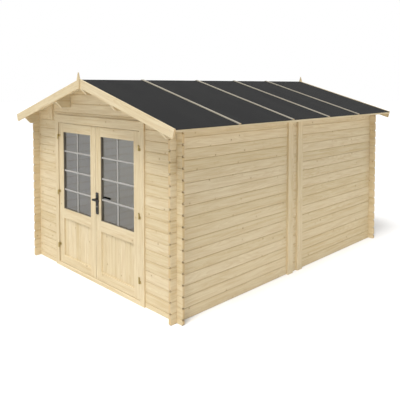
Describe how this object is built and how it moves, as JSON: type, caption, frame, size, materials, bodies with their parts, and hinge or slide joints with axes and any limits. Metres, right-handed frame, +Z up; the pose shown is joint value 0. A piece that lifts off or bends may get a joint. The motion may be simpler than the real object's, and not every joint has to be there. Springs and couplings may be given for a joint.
{
  "type": "log cabin",
  "caption": "Garden log cabin with notched log corners, a shallow felted gable roof on purlins and a glazed double door that opens outwards.",
  "frame": {"origin": "on the ground at the centre of the footprint", "axes": "+X to the right as seen from the front, +Y from the door wall into the depth, +Z up"},
  "size_m": [3.244, 4.418, 2.481],
  "materials": {
    "pine": "planed, unpainted",
    "batten": "weathered grey",
    "felt": "mineral felt",
    "glass": "clear",
    "hinge_metal": "dull brass plate",
    "handle_metal": "satin black"
  },
  "bodies": {
    "cabin": {"back_finial": "pine", "back_gable_logs": "pine", "back_wall_logs": "pine", "door_head": "pine", "door_sill": "pine", "door_stops": "pine", "floor_bearers": "pine", "floor_deck": "pine", "front_finial": "pine", "front_gable_logs": "pine", "front_lintel_log": "pine", "front_sill_log": "pine", "gable_cleats": "pine", "left_back_bargeboard": "pine", "left_door_jamb": "pine", "left_eave_log": "pine", "left_eave_strip": "pine", "left_felt_battens": "batten", "left_front_bargeboard": "pine", "left_front_wall_logs": "pine", "left_hinge_pins": "hinge_metal", "left_purlin": "pine", "left_roof_deck": "pine", "left_roof_felt": "felt", "left_wall_logs": "pine", "left_wall_splice_boards": "pine", "ridge_purlin": "pine", "right_back_bargeboard": "pine", "right_door_jamb": "pine", "right_eave_log": "pine", "right_eave_strip": "pine", "right_felt_battens": "batten", "right_front_bargeboard": "pine", "right_front_wall_logs": "pine", "right_hinge_pins": "hinge_metal", "right_purlin": "pine", "right_roof_deck": "pine", "right_roof_felt": "felt", "right_wall_logs": "pine", "right_wall_splice_boards": "pine"},
    "left_door": {"left_door_glass": "glass", "left_door_hinges": "hinge_metal", "left_door_panel": "pine", "left_door_rails": "pine", "left_door_stiles": "pine"},
    "right_door": {"right_door_glass": "glass", "right_door_hinges": "hinge_metal", "right_door_panel": "pine", "right_door_rails": "pine", "right_door_stiles": "pine", "handle_plates": "handle_metal"},
    "handle": {"handle_levers": "handle_metal"}
  },
  "joints": [
    {"name": "left_door_hinge", "type": "hinge", "parent": "cabin", "child": "left_door", "pos_m": [-0.848, -2.008, 0.958], "axis": [0, 0, -1], "range_deg": [0, 150]},
    {"name": "right_door_hinge", "type": "hinge", "parent": "cabin", "child": "right_door", "pos_m": [0.848, -2.008, 0.958], "axis": [0, 0, 1], "range_deg": [0, 150]},
    {"name": "handle_turn", "type": "hinge", "parent": "right_door", "child": "handle", "pos_m": [0.035, -1.967, 1.009], "axis": [0, 1, 0], "range_deg": [0, 40], "stiffness_Nm_per_rad": 1, "springref_deg": -34.38}
  ]
}
